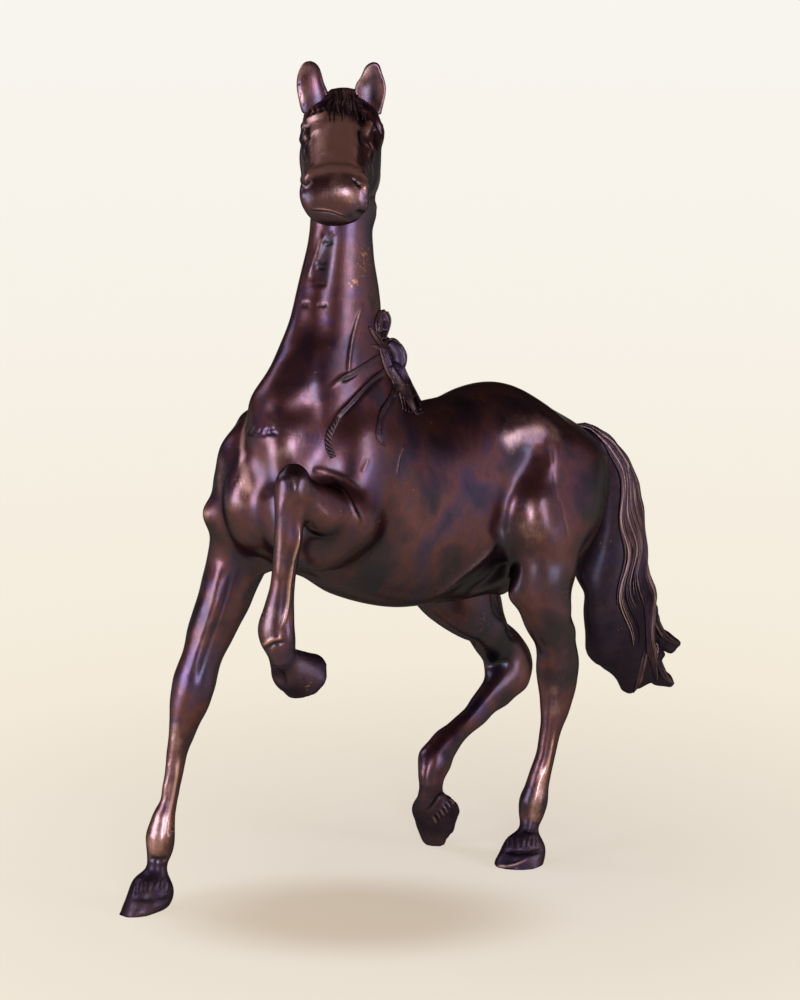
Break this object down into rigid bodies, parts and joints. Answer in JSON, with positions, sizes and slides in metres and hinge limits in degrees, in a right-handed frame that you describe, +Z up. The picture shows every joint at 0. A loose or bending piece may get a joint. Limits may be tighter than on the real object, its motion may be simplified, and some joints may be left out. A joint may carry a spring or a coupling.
{
  "type": "horse statue",
  "caption": "Free-standing cast brass horse statue with an antique bronze finish, trotting with a foreleg raised, the head turned aside and a full flowing tail.",
  "frame": {"origin": "middle of the statue's box in plan, at floor level", "axes": "+Z up, the horse faces -Y, its left side is +X"},
  "size_m": [0.173, 0.4536, 0.5341],
  "materials": {
    "body_bronze": "dark red-brown antique patina under gloss lacquer, rubbed to copper on the high points",
    "dark_bronze": "darker purplish grey-brown patina, slightly rough, with brass showing on the crests",
    "joint_brass": "bare brass, hidden inside the castings"
  },
  "bodies": {
    "root": {"leg_fore_right": "body_bronze", "hoof_fore_right": "dark_bronze", "leg_dowel_fore_right": "joint_brass", "hoof_dowel_fore_right": "joint_brass", "leg_fore_left": "body_bronze", "hoof_fore_left": "dark_bronze", "leg_dowel_fore_left": "joint_brass", "hoof_dowel_fore_left": "joint_brass", "leg_hind_left": "body_bronze", "hoof_hind_left": "dark_bronze", "leg_dowel_hind_left": "joint_brass", "hoof_dowel_hind_left": "joint_brass", "leg_hind_right": "body_bronze", "hoof_hind_right": "dark_bronze", "leg_dowel_hind_right": "joint_brass", "hoof_dowel_hind_right": "joint_brass", "tail": "dark_bronze", "tail_dowel": "joint_brass", "trunk_left": "body_bronze", "trunk_right": "body_bronze", "neck": "body_bronze", "head": "body_bronze", "neck_sleeve": "joint_brass", "head_sleeve": "joint_brass", "ear_left": "body_bronze", "ear_right": "body_bronze", "forelock": "dark_bronze", "mane_crest": "dark_bronze", "mane_lock_curl": "dark_bronze", "mane_lock_withers": "dark_bronze", "mane_lock_upper": "dark_bronze", "mane_lock_lower": "dark_bronze", "mane_right_front": "dark_bronze", "mane_right_upper": "dark_bronze", "mane_right_middle": "dark_bronze", "mane_right_lower": "dark_bronze"}
  },
  "joints": []
}
